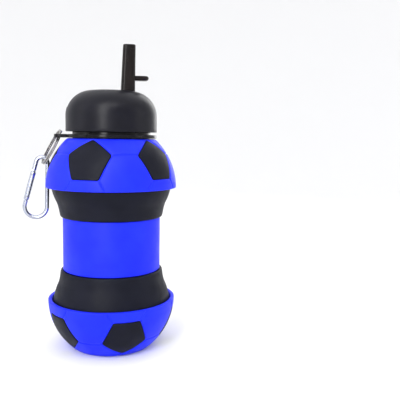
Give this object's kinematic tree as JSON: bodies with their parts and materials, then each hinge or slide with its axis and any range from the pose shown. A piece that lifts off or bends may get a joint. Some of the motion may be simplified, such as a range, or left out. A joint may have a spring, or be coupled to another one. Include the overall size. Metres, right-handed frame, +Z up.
{
  "type": "folding water bottle",
  "caption": "Ball-shaped folding silicone water bottle, drawn out for use, with a screw cap, flip spout, split ring and carabiner.",
  "frame": {"origin": "centre of the flat base, on the surface the bottle stands on", "axes": "+Z up along the bottle's axis; the split ring and carabiner hang on the -X side; the folded spout points to -X"},
  "size_m": [0.1143, 0.0956, 0.2239],
  "materials": {
    "blue_silicone": "satin",
    "black_silicone": "satin",
    "black_plastic": "satin",
    "inner_plastic": "satin",
    "smoke_plastic": "smooth",
    "clear_silicone": "satin",
    "polished_steel": "polished",
    "anodised_aluminium": "satin",
    "rivet_steel": "brushed"
  },
  "bodies": {
    "base": {"lower_shell": "blue_silicone", "lower_panel_1": "black_silicone", "lower_panel_2": "black_silicone", "lower_panel_3": "black_silicone", "lower_panel_4": "black_silicone", "lower_panel_5": "black_silicone", "base_panel": "black_silicone", "lower_waist": "black_silicone"},
    "sleeve": {"middle_sleeve": "blue_silicone"},
    "upper": {"upper_shell": "blue_silicone", "upper_panel_1": "black_silicone", "upper_panel_2": "black_silicone", "upper_panel_3": "black_silicone", "upper_panel_4": "black_silicone", "upper_panel_5": "black_silicone", "upper_waist": "black_silicone", "neck_insert": "black_plastic"},
    "collar": {"neck_collar": "black_plastic"},
    "ring": {"split_ring": "polished_steel"},
    "carabiner": {"carabiner_frame": "anodised_aluminium", "gate_rivet": "rivet_steel"},
    "gate": {"carabiner_gate": "anodised_aluminium", "latch_rivet": "rivet_steel", "gate_spring": "rivet_steel"},
    "cap_seal": {"cap_gasket": "clear_silicone"},
    "cap": {"cap_shell": "black_plastic", "cap_liner": "inner_plastic", "spout_seal": "clear_silicone", "vent_valve": "clear_silicone", "spout_pins": "rivet_steel"},
    "spout": {"spout": "smoke_plastic"}
  },
  "joints": [
    {"name": "lower_fold", "type": "slide", "parent": "base", "child": "sleeve", "axis": [0, 0, -1], "range_m": [0, 0.0412], "deforming": ["lower_waist"]},
    {"name": "upper_fold", "type": "slide", "parent": "sleeve", "child": "upper", "axis": [0, 0, -1], "range_m": [0, 0.0412], "deforming": ["upper_waist"]},
    {"name": "collar_turn", "type": "hinge", "parent": "upper", "child": "collar", "pos_m": [0, 0, 0.1575], "axis": [0, 0, 1], "continuous": true},
    {"name": "ring_swing", "type": "hinge", "parent": "collar", "child": "ring", "pos_m": [-0.03769, 0.00046, 0.15748], "axis": [0.1871, 0.748, 0.6367], "range_deg": [0, 45]},
    {"name": "carabiner_swing", "type": "hinge", "parent": "ring", "child": "carabiner", "pos_m": [-0.051, 0.01298, 0.13788], "axis": [-0.0207, 0.9435, 0.3308], "range_deg": [0, 40]},
    {"name": "gate_open", "type": "hinge", "parent": "carabiner", "child": "gate", "pos_m": [-0.05854, 0.01298, 0.12835], "axis": [0, -1, 0], "range_deg": [0, 28], "stiffness_Nm_per_rad": 0.02, "springref_deg": -14.32},
    {"name": "cap_lift", "type": "slide", "parent": "upper", "child": "cap_seal", "axis": [0, 0, 1], "range_m": [0, 0.0084]},
    {"name": "cap_turn", "type": "hinge", "parent": "cap_seal", "child": "cap", "pos_m": [0, 0, 0.1607], "axis": [0, 0, 1], "range_deg": [0, 720]},
    {"name": "spout_flip", "type": "hinge", "parent": "cap", "child": "spout", "pos_m": [0.009, 0, 0.1809], "axis": [0, -1, 0], "range_deg": [0, 90]}
  ],
  "couplings": [
    {"joint": "cap_lift", "follows": "cap_turn", "m_per_rad": 0.00066845}
  ]
}
